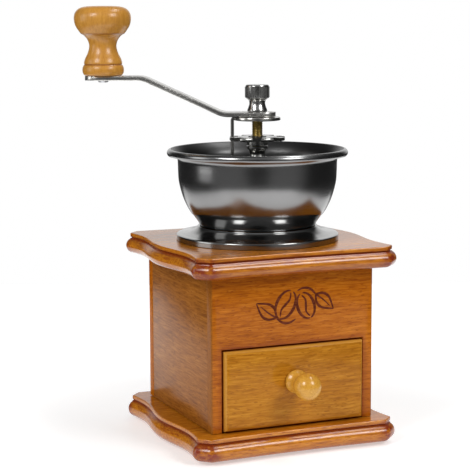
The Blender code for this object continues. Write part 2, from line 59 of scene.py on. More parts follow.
def direction(azimuth, elevation):
    """From the grinder towards a place round it; azimuth 0 is in front and -90 at its left."""
    a, e = math.radians(azimuth), math.radians(elevation)
    return Vector((math.sin(a) * math.cos(e), -math.cos(a) * math.cos(e), math.sin(e)))


def add_object(name, data):
    """A new object at the origin, linked to the scene."""
    made = bpy.data.objects.new(name, data)
    bpy.context.scene.collection.objects.link(made)
    return made


camera = add_object("camera", bpy.data.cameras.new("camera"))
bpy.context.scene.camera = camera
camera.data.sensor_width = 36
camera.data.lens = 119.98
camera.data.clip_start = 0.05
CAMERA_AZIMUTH = -23.045
CAMERA_PLACE = (-0.36908, -0.83383, 0.24940)
back = direction(CAMERA_AZIMUTH, 8.208)
level = direction(CAMERA_AZIMUTH + 90, 0)
roll = Matrix.Rotation(math.radians(-0.22), 3, back)
turn = Matrix((roll @ level, roll @ back.cross(level), back)).transposed()
camera.matrix_world = Matrix.Translation(CAMERA_PLACE) @ turn.to_4x4()

# ---- floor and light
# A white table top, lit from the front by two soft boxes, from the left by a weak one and
# from high on the right by a long one. The dark metal mirrors a bright backdrop and a dim room.


class Wire:
    """A shader socket that adds Math nodes when it is used in arithmetic."""

    def __init__(self, graph, socket):
        self.graph = graph
        self.socket = socket

    def math(self, operation, *values):
        return self.graph.add("ShaderNodeMath", {"operation": operation}, dict(enumerate(values)))

    def __add__(self, other):
        return self.math("ADD", self, other)

    __radd__ = __add__

    def __sub__(self, other):
        return self.math("SUBTRACT", self, other)

    def __rsub__(self, other):
        return self.math("SUBTRACT", other, self)

    def __mul__(self, other):
        return self.math("MULTIPLY", self, other)

    __rmul__ = __mul__

    def __pow__(self, other):
        return self.math("POWER", self, other)

    def __abs__(self):
        return self.math("ABSOLUTE", self)

    def ramp(self, low, high):
        """0 below low, 1 above high, and smooth between them."""
        settings = {"interpolation_type": "SMOOTHSTEP"}
        return self.graph.add("ShaderNodeMapRange", settings, {0: self, 1: low, 2: high})


class Graph:
    """A node tree that is written as Python expressions."""

    def __init__(self, tree):
        self.tree = tree

    def add(self, kind, settings=None, sockets=None, out=0):
        made = self.tree.nodes.new(kind)
        for name, value in (settings or {}).items():
            if name == "stops":
                while len(made.color_ramp.elements) < len(value):
                    made.color_ramp.elements.new(1)
                for element, (position, colour) in zip(made.color_ramp.elements, value):
                    element.position = position
                    element.color = (*colour, 1)
            else:
                setattr(made, name, value)
        for name, value in (sockets or {}).items():
            self.feed(made.inputs[name], value)
        return Wire(self, made.outputs[out])

    def feed(self, socket, value):
        if isinstance(value, Wire):
            self.tree.links.new(value.socket, socket)
        elif socket.type == "RGBA":
            socket.default_value = (*value, 1)
        else:
            socket.default_value = value

    def vector(self, x, y, z):
        return self.add("ShaderNodeCombineXYZ", sockets={0: x, 1: y, 2: z})

    def noise(self, x, y, z, detail=2.0, rough=0.5):
        return self.add("ShaderNodeTexNoise", sockets={
            "Vector": self.vector(x, y, z), "Scale": 1.0, "Detail": detail, "Roughness": rough})

    def mix(self, share, first, second):
        sockets = {0: share, 6: first, 7: second}
        return self.add("ShaderNodeMix", {"data_type": "RGBA"}, sockets, out=2)

    def split(self, vector):
        made = self.tree.nodes.new("ShaderNodeSeparateXYZ")
        self.tree.links.new(vector.socket, made.inputs[0])
        return [Wire(self, output) for output in made.outputs]


class Finish(Graph):
    """A material's Principled shader with what feeds it."""

    def __init__(self, name, **constant):
        self.material = bpy.data.materials.new(name)
        self.material.use_nodes = True
        super().__init__(self.material.node_tree)
        self.shader = self.tree.nodes["Principled BSDF"]
        for socket, value in constant.items():
            self.put(socket.replace("_", " "), value)

    def put(self, socket, value):
        self.feed(self.shader.inputs[socket], value)

    def place(self):
        return self.split(self.add("ShaderNodeTexCoord", out=3))

    def bump(self, height, depth, strength=1.0):
        self.put("Normal", self.add("ShaderNodeBump", sockets={
            "Height": height, "Distance": depth, "Strength": strength}))


table_top = Finish("table_top", Base_Color=(0.74, 0.74, 0.74), Emission_Strength=1.0)
x, y, z = table_top.place()
far = (x * x + y * y).ramp(0.012, 0.06)
table_top.put("Emission Color", table_top.mix(far, (0.46, 0.46, 0.46), (0.78, 0.78, 0.78)))
table_top.put("Roughness", 0.5 + 0.1 * table_top.noise(x * 40, y * 40, z * 40))
mesh = bpy.data.meshes.new("floor")
ahead = -direction(CAMERA_AZIMUTH, 0)
aside = direction(CAMERA_AZIMUTH + 90, 0)
corners = [(-0.33, -0.12), (-0.33, 0.12), (-0.24, 0.26), (0.00, 0.32), (0.50, 0.32), (0.50, -0.40),
           (0.00, -0.34), (-0.24, -0.26)]
mesh.from_pydata([ahead * on + aside * out for on, out in corners], [], [range(len(corners))])
mesh.materials.append(table_top.material)
floor = add_object("floor", mesh)

world = bpy.data.worlds.new("studio")
bpy.context.scene.world = world
world.use_nodes = True
room = Graph(world.node_tree)
x, y, z = room.split(room.add("ShaderNodeTexCoord"))
behind = x * ahead.x + y * ahead.y
backdrop = behind.ramp(0.78, 0.96) * z.ramp(-0.12, 0.02) * (1 - z.ramp(0.4, 0.7))
overhead = z.ramp(0.35, 0.95)
front = (1 - behind.ramp(-0.6, -0.1)) * behind.ramp(-0.995, -0.9)
glow = 0.03 + 0.2 * front + 0.9 * backdrop + 0.12 * overhead
seen = room.add("ShaderNodeLightPath")
sky = world.node_tree.nodes["Background"]
room.feed(sky.inputs["Color"], (1.0, 1.0, 1.0))
room.feed(sky.inputs["Strength"], seen + (1 - seen) * glow)

LAMPS_AIM = Vector((0, 0, 0.12))


def soft_box(name, azimuth, elevation, distance, width, height, power):
    """A rectangular lamp that faces the middle of the grinder."""
    lamp = bpy.data.lights.new(name, "AREA")
    lamp.shape = "RECTANGLE"
    lamp.size = width
    lamp.size_y = height
    lamp.energy = power
    box = add_object(name, lamp)
    towards = direction(CAMERA_AZIMUTH + azimuth, elevation)
    box.location = towards * distance + LAMPS_AIM
    box.rotation_euler = towards.to_track_quat("Z", "Y").to_euler()


soft_box("left_front_box", -40, 34, 1.3, 0.38, 0.46, 7.6)
soft_box("right_front_box", 48, 34, 1.3, 0.42, 0.46, 8.0)
soft_box("left_box", -80, 12, 1.2, 0.5, 0.8, 2.4)
soft_box("rear_box", 112, 66, 1.3, 0.9, 0.22, 5)
bpy.context.scene.view_settings.view_transform = "Standard"

# ---- base board, its pad and its screws
# A square of solid beech with clipped corners. A half-round bead runs round it under a thin
# square-edged top, and the left and right sides swing out and in. Painted shade darkens the quirk.

# Red stain, also used as painted shade in the quirk, low on the beads and round the drawer.
RED_STAIN_AND_PAINTED_SHADE = (0.21, 0.026, 0.006)


def raised(z):
    """The matrix that lifts a piece to a height."""
    return Matrix.Translation((0, 0, z))


def middle(node):
    """The middle of a CAD node's box."""
    low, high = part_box(node)
    return (low + high) / 2


def loft(rings, closed=False):
    """Skin rings of equally many points; closed joins the last ring to the first."""
    bm = bmesh.new()
    loops = [[bm.verts.new(point) for point in ring] for ring in rings]
    pairs = list(zip(loops, loops[1:]))
    if closed:
        pairs.append((loops[-1], loops[0]))
    for low, high in pairs:
        for i in range(len(low)):
            j = (i + 1) % len(low)
            bm.faces.new((low[i], low[j], high[j], high[i]))
    if not closed:
        bm.faces.new(loops[0])
        bm.faces.new(loops[-1])
    return bm


def plain(name, bm, place=Matrix.Identity(4)):
    """A mesh object at the origin, its faces outward and its place in its mesh."""
    bmesh.ops.transform(bm, matrix=place, verts=bm.verts)
    bmesh.ops.recalc_face_normals(bm, faces=bm.faces)
    mesh = bpy.data.meshes.new(name)
    bm.to_mesh(mesh)
    bm.free()
    return add_object(name, mesh)


def evaluated(made):
    """Turn what the modifiers give into the object's own mesh."""
    bpy.context.view_layer.update()
    graph = bpy.context.evaluated_depsgraph_get()
    result = bpy.data.meshes.new_from_object(made.evaluated_get(graph))
    made.modifiers.clear()
    made.data = result


def finish_piece(made, finish, body, replaced, angle=32):
    """Give a piece its finish, and make it ride and stand for its CAD nodes."""
    made.data.materials.clear()
    made.data.materials.append(finish.material)
    made.data.shade_smooth()
    made.data.set_sharp_from_angle(angle=math.radians(angle))
    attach(made, body)
    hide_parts(*replaced)


def bored(made, *tools):
    """Cut the tools out of an object."""
    for tool in tools:
        cut = made.modifiers.new(tool.name, "BOOLEAN")
        cut.operation = "DIFFERENCE"
        cut.object = tool
    evaluated(made)
    for tool in tools:
        bpy.data.objects.remove(tool)


def wood(name, along, tones, shift, roughness=0.27, coat=0.3, soft=0.16, contrast=1.0, flecks=0.7):
    """Beech with its fibres along one axis: wavy fibres, short flecks and slow changes of tone.

    tones are its dark, middle and light colours, shift moves the pattern along the fibres,
    and coat and soft are the lacquer's strength and roughness.
    """
    f = Finish(name, Specular_IOR_Level=0.0, Coat_Weight=coat, Coat_Roughness=soft)
    x, y, z = f.place()
    a, b, c = {"x": (x, y, z), "y": (y, x, z), "z": (z, x, y)}[along]
    a = a + shift
    sway = (f.noise(a * 26, b * 70, c * 70, 2) - 0.5) * 0.0042
    b, c = b + sway, c + sway
    fibre = f.noise(a * 60, b * 800, c * 800, 3, 0.62)
    thread = f.noise(a * 110, b * 2000, c * 2000, 2, 0.6)
    tone = f.noise(a * 9, b * 34, c * 34, 2)
    dash = f.noise(a * 260, b * 1350, c * 1350, 1).ramp(0.59, 0.70)
    value = 0.5 + contrast * (1.4 * (fibre - 0.5) + 0.6 * (thread - 0.5) + 0.6 * (tone - 0.5))
    stops = list(zip((0.12, 0.5, 0.88), tones))
    f.colour = f.add("ShaderNodeValToRGB", {"stops": stops}, {0: value})
    f.colour = f.mix(dash * flecks, f.colour, tones[0])
    f.put("Base Color", f.colour)
    f.put("Roughness", roughness + 0.12 * (fibre - 0.5) + 0.10 * (tone - 0.5))
    f.bump(fibre - 0.8 * dash, 0.03 * MM, 0.6)
    return f


def stain_and_painted_light(f, mask, colour):
    """Lay a colour over a wood's own where the mask is above 0: real stains, painted shade and
    painted highlights.
    """
    f.colour = f.mix(mask, f.colour, colour)
    f.put("Base Color", f.colour)


BOARD_HALF = 60.3 * MM
CLIP = 6 * MM
EDGE_RADIUS = 2.8 * MM
SIDE_WAVE = 1.9 * MM
WAVE_REACH = 36 * MM
FRONT_DIP = 1.5 * MM
EDGE_STEP = 3 * MM


def board_edge():
    """The outline of a board's top, counter-clockwise, as (point, outward direction) pairs."""
    steps = 40
    reach = BOARD_HALF - CLIP - EDGE_RADIUS * math.tan(math.pi / 8)
    first = Vector((BOARD_HALF - EDGE_RADIUS, reach, 0))
    last = Vector((reach, BOARD_HALF - EDGE_RADIUS, 0))
    corner = [(degrees, first) for degrees in range(5, 45, 5)] + [(45, (first + last) / 2)]
    corner += [(degrees, last) for degrees in range(50, 90, 5)]
    points = []
    for quarter in range(4):
        turn = Matrix.Rotation(quarter * math.pi / 2, 3, "Z")
        for i in range(steps + 1):
            along = reach * (-1 + 2 * i / steps)
            if quarter % 2 == 0:
                phase = math.pi * along / WAVE_REACH
                out = SIDE_WAVE * math.cos(phase)
                slope = -SIDE_WAVE * math.pi / WAVE_REACH * math.sin(phase)
            else:
                phase = math.pi * along / (2 * reach)
                out = -FRONT_DIP * math.cos(phase)
                slope = FRONT_DIP * math.pi / (2 * reach) * math.sin(phase)
            normal = Vector((1, -slope, 0)).normalized()
            points.append((turn @ Vector((BOARD_HALF + out, along, 0)), turn @ normal))
        for degrees, centre in corner:
            a = math.radians(degrees)
            normal = Vector((math.cos(a), math.sin(a), 0))
            points.append((turn @ (centre + EDGE_RADIUS * normal), turn @ normal))
    return points


def arc(centre, radius, first, last, steps):
    """Points of an arc in the (radius, height) plane, in millimetres and degrees."""
    turn = [math.radians(first + (last - first) * i / steps) for i in range(steps + 1)]
    return [(centre[0] + radius * math.cos(a), centre[1] + radius * math.sin(a)) for a in turn]


def beaded_board(name, node):
    """The board that stands where a CAD board does; edge is (outwards, up) in millimetres."""
    low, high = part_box(node)
    top = (high.z - low.z) / MM
    bead = (top - EDGE_STEP / MM) / 2
    quirk = 2 * bead
    edge = arc((2.6 - bead, bead), bead, -90, 62, 22)
    edge += [(0.1, quirk - 0.25), (-0.75, quirk + 0.05), (-0.95, quirk + 0.25),
             (-0.8, quirk + 0.5), (-0.3, quirk + 0.7), (-0.08, quirk + 0.85)]
    edge += arc((-0.55, top - 0.55), 0.55, 0, 90, 5) + [(-1.5, top)]
    rings = [[point + normal * out * MM + Vector((0, 0, z * MM)) for point, normal in board_edge()]
             for out, z in edge]
    return plain(name, loft(rings), raised(low.z))


def rods(places, radius, low, high, count=32):
    """Upright cylinders that cut holes."""
    bm = bmesh.new()
    for x, y in places:
        centre = Matrix.Translation((x, y, (low + high) / 2))
        bmesh.ops.create_cone(bm, cap_ends=True, segments=count, radius1=radius, radius2=radius,
                              depth=high - low, matrix=centre)
    return plain("hole", bm)


def board_finish(name, node, shift):
    """Honey beech with red stain at the clipped corners and in streaks high on the bead, and
    painted shade in the quirk and low on the bead.
    """
    low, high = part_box(node)
    tones = ((0.27, 0.068, 0.003), (0.47, 0.152, 0.007), (0.62, 0.240, 0.018))
    f = wood(name, "x", tones, shift, roughness=0.24, coat=1.0, soft=0.19, contrast=1.1)
    x, y, z = f.place()
    below_top = 1 - (z - high.z + 0.0008).ramp(0.0, 0.0007)
    corner = (abs(x) + abs(y)).ramp(0.1085, 0.1165) * below_top
    quirk = 1 - abs(z - high.z + EDGE_STEP - 0.0001).ramp(0.0002, 0.0016)
    patch = f.noise(x * 240, y * 240, z * 420, 3, 0.65)
    stain_and_painted_light(f, corner * (0.35 + 0.65 * patch.ramp(0.40, 0.58)), RED_STAIN_AND_PAINTED_SHADE)
    shoulder = 1 - abs(z - high.z + EDGE_STEP + 0.0016).ramp(0.0006, 0.0030)
    streak = f.noise(x * 90, y * 90, z * 700, 3, 0.65).ramp(0.50, 0.64)
    stain_and_painted_light(f, shoulder * streak * 0.65, RED_STAIN_AND_PAINTED_SHADE)
    # Painted shade: the quirk, the groove under the lip, is darkened red.
    stain_and_painted_light(f, quirk * 0.85, RED_STAIN_AND_PAINTED_SHADE)
    # Painted shade: the lowest part of the bead, which faces down, is darkened red.
    stain_and_painted_light(f, (1 - (z - low.z).ramp(0.0, 0.0055)) * 0.55, RED_STAIN_AND_PAINTED_SHADE)
    return f


felt = Finish("pressed_felt", Roughness=0.95, Sheen_Weight=0.3)
x, y, z = felt.place()
fluff = felt.noise(x * 2200, y * 2200, z * 2200, 4, 0.7)
felt.put("Base Color", felt.mix(fluff, (0.035, 0.03, 0.026), (0.12, 0.105, 0.09)))
felt.bump(fluff, 0.4 * MM)


def keep(finish, *names):
    """Give a finish to CAD nodes that stay as they are."""
    for name in names:
        nodes[name].data.materials.clear()
        nodes[name].data.materials.append(finish.material)


keep(felt, "base_pad")

base_low, base_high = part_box("base_board")
base_board = beaded_board("base_board_beaded", "base_board")
base_screws = [f"base_screw_{i}" for i in range(1, 5)]
base_places = [middle(node).xy for node in base_screws]
SCREW_HOLE = 1.7 * MM
bored(base_board, rods(base_places, SCREW_HOLE, base_low.z - MM, base_high.z + MM),
      rods(base_places, 3.8 * MM, base_low.z - MM, base_low.z + 4 * MM))
base_beech = board_finish("base_beech", "base_board", 0.31)
finish_piece(base_board, base_beech, "root", ["base_board"])

# ---- case panels
# Four beech panels glued into a box. The front runs the full width, so its end grain shows
# as a narrow strip on the sides, and its vertical edges are rounded over by hand.

HONEY = ((0.23, 0.050, 0.002), (0.41, 0.112, 0.004), (0.55, 0.185, 0.012))


def block(bm, centre, size, turn=Matrix.Identity(4)):
    """Add a box to a mesh, turned about its own middle."""
    place = Matrix.Translation(centre) @ turn @ Matrix.Diagonal((*size, 1))
    bmesh.ops.create_cube(bm, size=1, matrix=place)


def round_over(bm, edges, radius, segments):
    bmesh.ops.bevel(bm, geom=edges, offset=radius, segments=segments, profile=0.5, affect="EDGES")


def slab(name, node):
    """The board that stands where a CAD panel does, with its edges rounded over."""
    low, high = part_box(node)
    bm = bmesh.new()
    block(bm, middle(node), high - low)
    round_over(bm, bm.edges[:], 0.45 * MM, 3)
    return plain(name, bm)


def on_face(edge, y):
    """Whether an edge lies in the plane of a front face."""
    return all(abs(v.co.y - y) < 1e-6 for v in edge.verts)


side_tones = ((0.17, 0.050, 0.006), (0.29, 0.100, 0.012), (0.40, 0.155, 0.025))
for name, shift in (("left_panel", 0.0), ("right_panel", 0.7)):
    side = slab(f"{name}_board", name)
    side_beech = wood(f"{name}_beech", "y", side_tones, shift, roughness=0.30, coat=0.5, soft=0.24)
    finish_piece(side, side_beech, "root", [name])
back_board = slab("back_panel_board", "back_panel")
finish_piece(back_board, wood("back_beech", "x", HONEY, 1.9), "root", ["back_panel"])

case_low, case_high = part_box("front_panel")
drawer_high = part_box("drawer_front")[1]
opening = drawer_high.x + MM
opening_top = drawer_high.z + MM
outline = [(case_low.x, case_low.z), (-opening, case_low.z), (-opening, opening_top),
           (opening, opening_top), (opening, case_low.z), (case_high.x, case_low.z),
           (case_high.x, case_high.z), (case_low.x, case_high.z)]
bm = bmesh.new()
face = bm.faces.new([bm.verts.new((x, case_low.y, z)) for x, z in outline])
grown = bmesh.ops.extrude_face_region(bm, geom=[face])
moved = [v for v in grown["geom"] if isinstance(v, bmesh.types.BMVert)]
bmesh.ops.translate(bm, verts=moved, vec=(0, case_high.y - case_low.y, 0))
outer = [e for e in bm.edges if on_face(e, case_low.y)
         and min(abs(v.co.x) for v in e.verts) > opening + MM
         and abs(e.verts[0].co.x - e.verts[1].co.x) < 1e-6]
round_over(bm, outer, 0.9 * MM, 4)
rim = [e for e in bm.edges if on_face(e, case_low.y) and e.calc_length() > 10 * MM
       and max(abs(v.co.x) for v in e.verts) < opening + 1e-5
       and max(v.co.z for v in e.verts) < opening_top + 1e-5]
round_over(bm, rim, 0.25 * MM, 2)
front_panel = plain("front_panel_board", bm)
front_beech = wood("front_beech", "x", HONEY, 0.12, contrast=0.9)
x, y, z = front_beech.place()
# Painted shade: a strip of the front round the drawer opening is darkened red.
near_side = 1 - (abs(x) - opening).ramp(-0.001, 0.0035)
near_top = 1 - (z - opening_top).ramp(-0.001, 0.004)
dark_outer_edge = (abs(x) - 0.0488).ramp(0.0, 0.0011)
stain_and_painted_light(front_beech, near_side * near_top * 0.45, RED_STAIN_AND_PAINTED_SHADE)
# The rounded-over outer edges of the front are coloured darker brown.
stain_and_painted_light(front_beech, dark_outer_edge * 0.55, (0.16, 0.072, 0.014))
finish_piece(front_panel, front_beech, "root", ["front_panel"])

# ---- bean motif on the front
# Two coffee beans between two leaves, drawn with a hot iron in lines of uneven width. The
# lines are thin ribbons of scorched wood, each a little prouder than the one it crosses.

MOTIF_MIDDLE = Vector((1.0, 84.6)) * MM
scorched = Finish("scorched_wood", Roughness=0.55, Specular_IOR_Level=0.05)
x, y, z = scorched.place()
char = scorched.noise(x * 260, y * 260, z * 900, 3, 0.6)
burnt = scorched.mix(char.ramp(0.35, 0.7), (0.085, 0.017, 0.006), (0.17, 0.042, 0.013))
scorched.put("Base Color", burnt)
scorched.bump(char, 0.1 * MM)


def ribbon(bm, points, widths, height):
    """A flat line with round ends on the front; widths are at its start, middle and end."""
    count = len(points)
    outer = case_low.y - height
    inner = case_low.y + 0.3 * MM
    rings = []
    for i, point in enumerate(points):
        tangent = (points[min(i + 1, count - 1)] - points[max(i - 1, 0)]).normalized()
        t = i / (count - 1)
        first, broad, last = widths
        width = broad + ((first if t < 0.5 else last) - broad) * abs(2 * t - 1)
        end = min(t, 1 - t) * 14
        half = 0.5 * width * math.sqrt(max(0.04, 1 - max(0, 1 - end) ** 2)) * MM
        across = Vector((-tangent.y, tangent.x)) * half
        a, b = point + across, point - across
        section = ((a.x, outer, a.y), (b.x, outer, b.y), (b.x, inner, b.y), (a.x, inner, a.y))
        rings.append([bm.verts.new(corner) for corner in section])
    for low, high in zip(rings, rings[1:]):
        for i in range(4):
            j = (i + 1) % 4
            bm.faces.new((low[i], low[j], high[j], high[i]))
    bm.faces.new(rings[0])
    bm.faces.new(rings[-1])


def between(a, b, c, d, t):
    """A smooth line's value at t from b to c; a comes before them and d after."""
    return 0.5 * (2 * b + (c - a) * t + (2 * a - 5 * b + 4 * c - d) * t * t
                  + (3 * b - a - 3 * c + d) * t ** 3)


def curve(controls):
    """A smooth curve through points given in millimetres from the motif's middle."""
    control = [Vector(p) for p in controls]
    padded = [2 * control[0] - control[1]] + control + [2 * control[-1] - control[-2]]
    steps = max(26, 4 * len(control)) // (len(control) - 1)
    points = []
    for four in zip(padded, padded[1:], padded[2:], padded[3:]):
        points += [between(*four, i / steps) for i in range(steps)]
    return [p * MM + MOTIF_MIDDLE for p in points + [control[-1]]]


def bean(centre, length, width, tilt):
    """The outline of a bean in two strokes, and the wavy seam between them."""
    turn = Matrix.Rotation(math.radians(tilt), 2)
    heart = Vector(centre)
    strokes = []
    for side in (1, -1):
        turns = [math.radians(a) for a in range(8, 179, 10)]
        rim = [(math.cos(a) * length / 2, side * math.sin(a) * width / 2) for a in turns]
        strokes.append(([heart + turn @ Vector(p) for p in rim], (0.9, 1.9, 0.9)))
    seam = [(-length * 0.44, -0.2), (-length * 0.22, 1.0), (0, 0), (length * 0.22, -1.0),
            (length * 0.44, 0.2)]
    strokes.append(([heart + turn @ Vector(p) for p in seam], (0.8, 1.5, 0.8)))
    return strokes


def leaf(base, tip, width):
    """The two edges of a pointed leaf, and its midrib."""
    base, tip = Vector(base), Vector(tip)
    across = Vector((base.y - tip.y, tip.x - base.x)).normalized() * width / 2
    strokes = []
    for side in (1, -1):
        edge = [base, base.lerp(tip, 0.25) + 0.9 * side * across,
                base.lerp(tip, 0.55) + side * across, tip]
        strokes.append((edge, (1.0, 1.7, 0.8)))
    midrib = [base, base.lerp(tip, 0.4) + 0.1 * across, base.lerp(tip, 0.8)]
    strokes.append((midrib, (1.3, 0.9, 0.5)))
    return strokes


strokes = bean((-6.0, 0.6), 17.0, 11.0, 62) + bean((6.6, -0.8), 15.5, 10.2, 112)
strokes += leaf((-11.6, -6.6), (-24.0, 2.6), 7.6) + leaf((12.6, 5.4), (24.0, -4.0), 7.2)
stalks = [([(-11.6, -6.6), (-8.0, -9.4), (-3.6, -9.8), (0.4, -8.0)], (1.2, 1.6, 0.7)),
          ([(12.6, 5.4), (9.6, 8.4), (5.2, 9.4), (1.2, 8.0)], (1.2, 1.5, 0.7))]
bm = bmesh.new()
for i, (controls, widths) in enumerate(strokes + stalks):
    ribbon(bm, curve(controls), widths, (0.06 + 0.006 * i) * MM)
motif = plain("bean_motif", bm)
motif.data.materials.append(scorched.material)
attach(motif, "root")

# ---- drawer guides and box
# Strips of bare beech that the drawer runs on, and its plain glued box. They are sanded
# but not lacquered, so they stay pale.

BARE = ((0.42, 0.24, 0.11), (0.60, 0.40, 0.21), (0.72, 0.53, 0.32))
bare_beech = wood("bare_beech", "y", BARE, 0.4, roughness=0.62, coat=0.0, contrast=0.7)
bare_cross = wood("bare_cross_beech", "x", BARE, 0.9, roughness=0.62, coat=0.0, contrast=0.7)
keep(bare_beech, "drawer_guide_left", "drawer_guide_right", "drawer_bottom",
     "drawer_side_left", "drawer_side_right")
keep(bare_cross, "drawer_back")

# ---- top board
# The same beaded board as the base, bored in the middle for the burr housing and drilled
# for the four screws that hold the bowl.

top_low, top_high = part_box("top_board")
top_board = beaded_board("top_board_beaded", "top_board")
bowl_screws = [f"bowl_screw_{i}" for i in range(1, 5)]
bowl_places = [middle(node).xy for node in bowl_screws]
bored(top_board, rods([(0, 0)], 23 * MM, top_low.z - MM, top_high.z + MM, 64),
      rods(bowl_places, SCREW_HOLE, top_low.z - MM, top_high.z + MM))
top_beech = board_finish("top_beech", "top_board", 0.05)
finish_piece(top_board, top_beech, "root", ["top_board"])

# ---- foot ring and hopper bowl
# Two spinnings of thin steel with a polished black nickel plate. The ring rises in a hollow
# curve to the neck of the bowl, which has a lip rolled into a bead and a rougher, darker inside.


def circle(radius, z, count):
    turn = [2 * math.pi * i / count for i in range(count)]
    return [Vector((radius * math.cos(a), radius * math.sin(a), z)) for a in turn]


def turned(profile, count, closed=False):
    """Revolve (radius, height) pairs given in millimetres around Z."""
    return loft([circle(r * MM, z * MM, count) for r, z in profile], closed)


def smooth_line(points, steps=4):
    """A denser line that passes smoothly through (radius, height) points."""
    line = []
    padded = [points[0]] + list(points) + [points[-1]]
    for four in zip(padded, padded[1:], padded[2:], padded[3:]):
        line += [tuple(between(*axis, i / steps) for axis in zip(*four)) for i in range(steps)]
    return line + [points[-1]]


def spun_lines(f, strength):
    """Faint turning lines round the spindle's axis."""
    x, y, z = f.place()
    radius = (x * x + y * y) ** 0.5
    f.bump(f.noise(radius * 2400, 0.0, z * 2400, 2, 0.7), 0.02 * MM, strength)


def plated(name, colour, roughness, spread=0.06, lines=0.3):
    """Bright plate on spun or stamped steel: turning lines, cloudy polish and a few specks."""
    f = Finish(name, Metallic=1.0)
    x, y, z = f.place()
    cloud = f.noise(x * 55, y * 55, z * 55, 3, 0.6)
    speck = f.noise(x * 900, y * 900, z * 900, 2).ramp(0.68, 0.76)
    dull = f.mix(speck * 0.5, colour, tuple(0.45 * c for c in colour))
    f.put("Base Color", f.mix(cloud.ramp(0.3, 0.8) * 0.25, dull, tuple(0.8 * c for c in colour)))
    f.put("Roughness", roughness + spread * (cloud - 0.4) * 2 + 0.10 * speck)
    spun_lines(f, lines)
    return f


foot_edge = [(47.5, 0.3), (47.5, 0.8), (47.5, 2.6)] + arc((46.9, 3.1), 0.6, 0, 75, 5)
foot_rise = smooth_line([(45.4, 3.9), (43.5, 4.15), (39.8, 4.95), (37.4, 6.05), (35.8, 7.2),
                         (35.1, 8.1)])
foot_inner = [(34.9, 8.35), (34.4, 8.45), (33.9, 8.3), (33.9, 6.9), (35.2, 5.4), (38.5, 3.7),
              (43.5, 2.6), (46.2, 2.1), (46.2, 0.3)]
ring = plain("foot_ring_spun", turned(foot_edge + foot_rise + foot_inner, 160, closed=True),
             raised(top_high.z))
black_nickel = plated("black_nickel", (0.32, 0.32, 0.315), 0.14, lines=0.15)
finish_piece(ring, black_nickel, "root", ["foot_ring"])

bowl_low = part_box("hopper_bowl")[0]
bowl_outside = smooth_line([(32.9, 0.45), (34.0, 1.9), (35.0, 3.8), (37.2, 6.9), (39.7, 10.0),
                            (42.7, 15.9), (44.7, 21.8), (46.0, 27.7), (46.35, 33.6),
                            (46.45, 37.6), (46.6, 39.9), (47.2, 41.3), (48.4, 42.2)])
bowl_rim = arc((50.6, 43.9), 2.2, -50, 125, 18)
bowl_inside = smooth_line([(46.9, 42.6), (45.4, 39.4), (45.1, 33.6), (44.8, 27.9), (43.5, 22.3),
                           (41.6, 16.4), (38.8, 10.9), (36.3, 7.9), (34.4, 5.0), (33.3, 3.0),
                           (32.3, 1.7), (31.2, 1.3)])
bowl_floor = [(26.0, 1.3), (18.4, 1.3), (18.0, 0.9), (18.0, 0.3), (18.4, 0.0), (26.0, 0.0),
              (31.6, 0.0), (32.4, 0.15)]
bowl_profile = bowl_outside + bowl_rim + bowl_inside + bowl_floor
hopper = plain("hopper_bowl_spun", turned(bowl_profile, 192, closed=True), raised(bowl_low.z))
bored(hopper, rods(bowl_places, SCREW_HOLE, bowl_low.z - MM, bowl_low.z + 3 * MM))
bowl_nickel = Finish("bowl_nickel", Metallic=1.0)
spun_lines(bowl_nickel, 0.15)
x, y, z = bowl_nickel.place()
nx, ny, _ = bowl_nickel.split(bowl_nickel.add("ShaderNodeTexCoord", out=1))
inside = (0 - nx * x - ny * y).ramp(-0.002, 0.004)
cloud = bowl_nickel.noise(x * 55, y * 55, z * 55, 3, 0.6)
wall = (z - bowl_low.z).ramp(0.006, 0.016)
bowl_nickel.put("Roughness", 0.11 + 0.06 * cloud + 0.09 * wall + 0.15 * inside)
# The inside is coloured darker as well as rougher, and clouds vary the colour.
darker_inside_and_clouds = inside + 0.3 * cloud
bowl_nickel.put("Base Color", bowl_nickel.mix(darker_inside_and_clouds, (0.27, 0.27, 0.27), (0.08, 0.08, 0.08)))
finish_piece(hopper, bowl_nickel, "root", ["hopper_bowl"])

# ---- burrs and their housing
# Cast iron, dark and grainy all over; the ground faces where the teeth meet get the same finish.
# They sit below the bowl's floor and show only through its throat.

cast_iron = Finish("cast_iron", Metallic=1.0)
x, y, z = cast_iron.place()
grit = cast_iron.noise(x * 1600, y * 1600, z * 1600, 4, 0.7)
cloud = cast_iron.noise(x * 120, y * 120, z * 120, 2)
cast_iron.put("Base Color", cast_iron.mix(grit, (0.05, 0.05, 0.052), (0.20, 0.20, 0.205)))
cast_iron.put("Roughness", 0.42 + 0.25 * cloud)
cast_iron.bump(grit, 0.3 * MM, 0.8)
keep(cast_iron, "burr_housing", "outer_burr", "inner_burr")

# ---- screws
# Pan-head screws of zinc-plated steel with a cross recess. Ten hold the base, the bowl and
# the lower bearing, and one holds the drawer's knob. Each kind is one shape set at its places.

zinc_plate = plated("zinc_plate", (0.60, 0.61, 0.63), 0.30)


